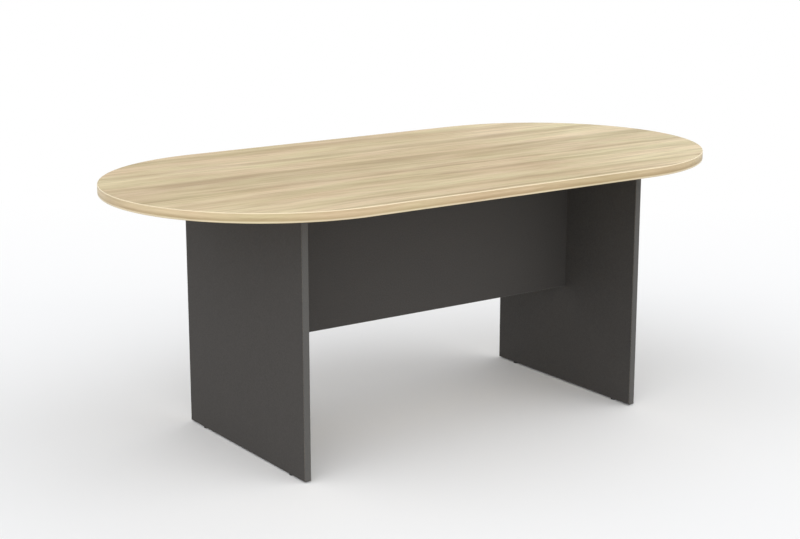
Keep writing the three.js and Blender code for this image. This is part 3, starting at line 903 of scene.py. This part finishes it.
color = tinted(oak_decor, worked(oak_decor, "MULTIPLY", pore_mask, 0.25), color, OAK_DEEP)
oak_decor.links.new(color, gives["Color"])
oak_decor.links.new(pore_mask, gives["Pores"])

oak_melamine, tree, shader, place = new_finish("oak_melamine")
lengthways, crossways, upwards = shader_node(tree, "ShaderNodeSeparateXYZ", {0: place}).outputs
# The top is paler towards its left end and its front edge, and towards its right end it is lightened by painted
# light
pale_left = spread(tree, lengthways, 0.1, -0.8, 0, 0.22)
painted_light_right = spread(tree, lengthways, 0.25, 0.7, 0, 0.8)
pale_front = spread(tree, crossways, -0.22, -0.42, 0, 0.15)
pale_rim_and_painted_light = worked(tree, "ADD", pale_front, worked(tree, "ADD", pale_left, painted_light_right))
oak = effect(tree, oak_decor, {"Vector": place, "Pale": pale_rim_and_painted_light})
pearl = effect(tree, pressed_pearl, {"Vector": place, "Scale": 900.0})
haze = effect(tree, wiped_haze, {"Vector": place})["Haze"]
roughness = spread(tree, haze, 0, 1, 0.44, 0.54)
roughness = worked(tree, "ADD", roughness, worked(tree, "MULTIPLY", oak["Pores"], 0.1))
height = worked(tree, "SUBTRACT", pearl["Height"], worked(tree, "MULTIPLY", oak["Pores"], 1.5))
set_finish(tree, shader, oak["Color"], roughness, height, 0.05 * MM, 0.5)
shader.inputs["Specular IOR Level"].default_value = 0.06


# Racetrack slab: a round slab is split across the middle, its halves are drawn apart and bridged again
def racetrack_slab(name, low, high):
    radius = (high.y - low.y) / 2
    straight = (high.x - low.x) / 2 - radius
    deselect_all()
    bpy.ops.mesh.primitive_cylinder_add(
        vertices=ROUND_STEPS, radius=radius, depth=high.z - low.z, location=(low + high) / 2
    )
    slab = settle(bpy.context.object, name)
    pick(slab, "FACE", lambda face: True)
    bpy.ops.mesh.bisect(plane_co=(0, 0, 0), plane_no=(1, 0, 0))
    put_down()
    pick(slab, "FACE", lambda face: face.center.x > 0)
    bpy.ops.mesh.split()
    bpy.ops.transform.translate(value=(straight, 0, 0))
    put_down()
    pick(slab, "FACE", lambda face: face.center.x < straight / 2)
    bpy.ops.transform.translate(value=(-straight, 0, 0))
    bpy.ops.mesh.select_mode(type="EDGE")
    bpy.ops.mesh.select_all(action="DESELECT")
    bpy.ops.mesh.select_non_manifold()
    bpy.ops.mesh.bridge_edge_loops()
    bpy.ops.mesh.select_all(action="SELECT")
    bpy.ops.mesh.normals_make_consistent(inside=False)
    put_down()
    return slab


top = racetrack_slab("oak_top", *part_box("top_board"))
face_board(top, Z, oak_melamine)
bores = []
for name, pointing, facing in fittings:
    if pointing == DOWN:
        bores.append(bore(name + "_cam_bolt", Z, PILOT_BORE))
        if not name.startswith("modesty_top"):
            bores.append(bore(name + "_dowel", Z, DOWEL_BORE))
drill(top, bores, raw_chipboard)
fit(top, "top_board", "table")


# Edging of the top: 2 mm ABS tape printed with the same oak, its grain running round the table.
# It is wrapped round the outline in one length with hot glue, and both arrises are rounded by the bander.

BAND_THICKNESS = 2.0 * MM
BAND_ARRIS = 1.95 * MM
# Painted highlight: the light line along the tape's upper arris
UPPER_HIGHLIGHT_TONE = (0.84, 0.73, 0.52, 1)
# Painted highlight: the pale line along the tape's lower arris
LOWER_HIGHLIGHT_TONE = (0.80, 0.74, 0.56, 1)
PLAIN_STRIP = -0.29
# The print gets a little deeper from the left end of the table to the right
DEEPER_RUN = (-0.80, 0.90)
DEEPER_RIGHT = 0.40
# Dark grain line of the print: where it starts above, is darkest and ends below, and its strength
GRAIN_LINE = (15.5 * MM, 6.6 * MM, 4.4 * MM)
GRAIN_LINE_DEPTH = 0.45
# Lower arris, with a pale painted highlight: heights between which it starts, and those below which it turns away
LOWER_HIGHLIGHT_START = (4.8 * MM, 3.2 * MM)
LOWER_TURN = (1.8 * MM, 0.4 * MM)

band_low, band_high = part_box("top_edging")
band_height = band_high.z - band_low.z
oak_tape, tree, shader, place = new_finish("oak_tape")
along_tape = shader_node(tree, "ShaderNodeUVMap", uv_map="along_tape").outputs[0]
plain_strip = shader_node(tree, "ShaderNodeVectorMath", {0: along_tape, 1: (0, PLAIN_STRIP, 0)}, operation="ADD")
oak = effect(tree, oak_decor, {"Vector": plain_strip.outputs[0], "Pale": 0.0})
pearl = effect(tree, pressed_pearl, {"Vector": place, "Scale": 1300.0})
haze = effect(tree, wiped_haze, {"Vector": place})["Haze"]
girth = shader_node(tree, "ShaderNodeSeparateXYZ", {0: along_tape}).outputs["Y"]
line_start, line_dark, line_end = GRAIN_LINE
line_above = spread(tree, girth, line_start, line_dark, 0, GRAIN_LINE_DEPTH)
line_below = spread(tree, girth, line_end, line_dark, 0, 1)
lengthways = shader_node(tree, "ShaderNodeSeparateXYZ", {0: place}).outputs["X"]
deeper = spread(tree, lengthways, *DEEPER_RUN, 0, DEEPER_RIGHT)
deeper = worked(tree, "ADD", deeper, worked(tree, "MULTIPLY", line_above, line_below))
# Painted highlight lightens the upper arris towards its top
upper_arris_highlight = spread(tree, girth, band_height - 2.4 * MM, band_height - 0.8 * MM, 0, 0.9)
# Painted highlight on the lower arris, fading out where the arris turns down
lower_arris_highlight = worked(tree, "MULTIPLY", spread(tree, girth, *LOWER_HIGHLIGHT_START, 0, 0.45), spread(tree, girth, *LOWER_TURN, 1, 0))
color = tinted(tree, deeper, oak["Color"], OAK_DEEP)
color = tinted(tree, upper_arris_highlight, color, UPPER_HIGHLIGHT_TONE)
color = tinted(tree, lower_arris_highlight, color, LOWER_HIGHLIGHT_TONE)
set_finish(tree, shader, color, spread(tree, haze, 0, 1, 0.36, 0.48), pearl["Height"], 0.04 * MM, 0.4)
shader.inputs["Specular IOR Level"].default_value = 0.15

band = racetrack_slab("oak_top_edging", band_low, band_high)
pick(band, "FACE", lambda face: abs(face.normal.z) > 0.9)
bpy.ops.mesh.inset(thickness=BAND_THICKNESS)
bpy.ops.mesh.delete(type="FACE")
bpy.ops.mesh.select_mode(type="EDGE")
bpy.ops.mesh.select_non_manifold()
bpy.ops.mesh.bridge_edge_loops()
put_down()
band_radius = (band_high.y - band_low.y) / 2
band_straight = (band_high.x - band_low.x) / 2 - band_radius


# Distance from the middle racetrack line, which is the band's own radius on its outer face
def from_middle(point):
    return math.hypot(max(abs(point.x) - band_straight, 0), point.y)


def outer_rim(edge):
    first, second = (band.data.vertices[i].co for i in edge.vertices)
    level = abs(first.z - second.z) < 0.1 * MM
    return level and min(from_middle(first), from_middle(second)) > band_radius - 0.5 * BAND_THICKNESS


pick(band, "EDGE", outer_rim)
bpy.ops.mesh.bevel(offset=BAND_ARRIS, segments=ARRIS_STEPS, profile=0.5)
bpy.ops.mesh.select_all(action="SELECT")
bpy.ops.mesh.normals_make_consistent(inside=False)
put_down()

# The tape's own map: metres run round the outline from its joint at the rear left,
# and metres up the edge and on over the arrises
half_turn = math.pi * band_radius
whole_run = 4 * band_straight + 2 * half_turn


def run_round(point):
    if abs(point.x) <= band_straight:
        along = point.x + band_straight
        return along if point.y > 0 else 4 * band_straight + half_turn - along
    angle = math.atan2(-point.y, abs(point.x) - band_straight)
    if point.x > 0:
        return 2 * band_straight + (angle + math.pi / 2) * band_radius
    return 4 * band_straight + half_turn + (math.pi / 2 - angle) * band_radius


tape_map = band.data.uv_layers.new(name="along_tape")
for polygon in band.data.polygons:
    runs = [run_round(band.data.vertices[i].co) for i in polygon.vertices]
    for loop, vertex, run in zip(polygon.loop_indices, polygon.vertices, runs):
        if max(runs) - run > whole_run / 2:
            run += whole_run
        height = band.data.vertices[vertex].co.z - band_low.z
        inset = band_radius - from_middle(band.data.vertices[vertex].co)
        tape_map.data[loop].uv = (run, height + math.copysign(inset, height - band_height / 2))
band.data.materials.append(oak_tape)
shade_round(band)
fit(band, "top_edging", "table")


# Studio: a pale floor that fades to white behind the table, between soft walls of light.
# The left wall is bright high up, the front one is even, the right one is low, and the rear one is dim.

FLOOR_SIZE = 60.0
FLOOR_TONE = (0.876, 0.882, 0.894, 1)
WHITE = (1, 1, 1, 1)
VIEW_YAW = 0.60975334
VIEW_PITCH = -0.23550849
# Each wall of light: its axis and side, and its level at the floor line and overhead
SOFT_WALLS = (("X", 1, 1.40, 1.40), ("X", -1, 0.35, 3.05), ("Y", -1, 1.00, 2.00), ("Y", 1, 0.30, 0.30))

deselect_all()
bpy.ops.mesh.primitive_plane_add(size=FLOOR_SIZE, location=(0, 0, 0))
studio_floor = settle(bpy.context.object, "studio_floor")
pale_floor, tree, shader, place = new_finish("pale_floor")
shader.inputs["Base Color"].default_value = FLOOR_TONE
shader.inputs["Roughness"].default_value = 0.9
shader.inputs["Specular IOR Level"].default_value = 0.0
glow = shader_node(tree, "ShaderNodeEmission", {"Color": WHITE, "Strength": 1.0})
away = (math.sin(VIEW_YAW), math.cos(VIEW_YAW), 0)
depth_behind = shader_node(tree, "ShaderNodeVectorMath", {0: place, 1: away}, operation="DOT_PRODUCT")
distance = shader_node(tree, "ShaderNodeVectorMath", {0: place}, operation="LENGTH")
fade_behind = spread(tree, depth_behind.outputs["Value"], 1.2, 3.0, 0, 1)
fade_away = spread(tree, distance.outputs["Value"], 2.5, 6.0, 0, 1)
faded = worked(tree, "MAXIMUM", fade_behind, fade_away)
path = shader_node(tree, "ShaderNodeLightPath").outputs
seen = worked(tree, "MAXIMUM", path["Is Camera Ray"], path["Is Glossy Ray"])
seen = worked(tree, "MAXIMUM", seen, path["Is Transmission Ray"])
mix = shader_node(tree, "ShaderNodeMixShader", {0: worked(tree, "MULTIPLY", faded, seen)})
tree.links.new(shader.outputs[0], mix.inputs[1])
tree.links.new(glow.outputs[0], mix.inputs[2])
tree.links.new(mix.outputs[0], tree.nodes["Material Output"].inputs["Surface"])
studio_floor.data.materials.append(pale_floor)

sky = bpy.data.worlds.new("studio_light")
sky.use_nodes = True
tree = sky.node_tree
direction = shader_node(tree, "ShaderNodeTexCoord").outputs["Generated"]
toward = shader_node(tree, "ShaderNodeSeparateXYZ", {0: direction}).outputs
light = 0.0
for axis, side, low_level, high_level in SOFT_WALLS:
    facing = worked(tree, "MAXIMUM", worked(tree, "MULTIPLY", toward[axis], side), 0.0)
    level = spread(tree, toward["Z"], 0, 1, low_level, high_level)
    light = worked(tree, "ADD", light, worked(tree, "MULTIPLY", facing, level))
path = shader_node(tree, "ShaderNodeLightPath").outputs
seen = worked(tree, "MAXIMUM", path["Is Camera Ray"], path["Is Glossy Ray"])
seen = worked(tree, "MAXIMUM", seen, path["Is Transmission Ray"])
tree.nodes["Background"].inputs["Color"].default_value = WHITE
strength = spread(tree, seen, 0, 1, light, 1)
tree.links.new(strength, tree.nodes["Background"].inputs["Strength"])
bpy.context.scene.world = sky


# Camera: a long lens in front of the table's left end, a little above a standing person's shoulder.
# It looks slightly down at the table, as the photograph was taken.

LENS = 75.956344
CAMERA_PLACE = (-2.6374399, -3.6976647, 1.5060315)

view = bpy.data.cameras.new("view")
view.sensor_width = 36.0
view.lens = LENS
camera = bpy.data.objects.new("camera", view)
camera.location = CAMERA_PLACE
camera.rotation_euler = (math.pi / 2 + VIEW_PITCH, 0, -VIEW_YAW)
bpy.context.scene.collection.objects.link(camera)
bpy.context.scene.camera = camera
bpy.context.scene.view_settings.view_transform = "Standard"
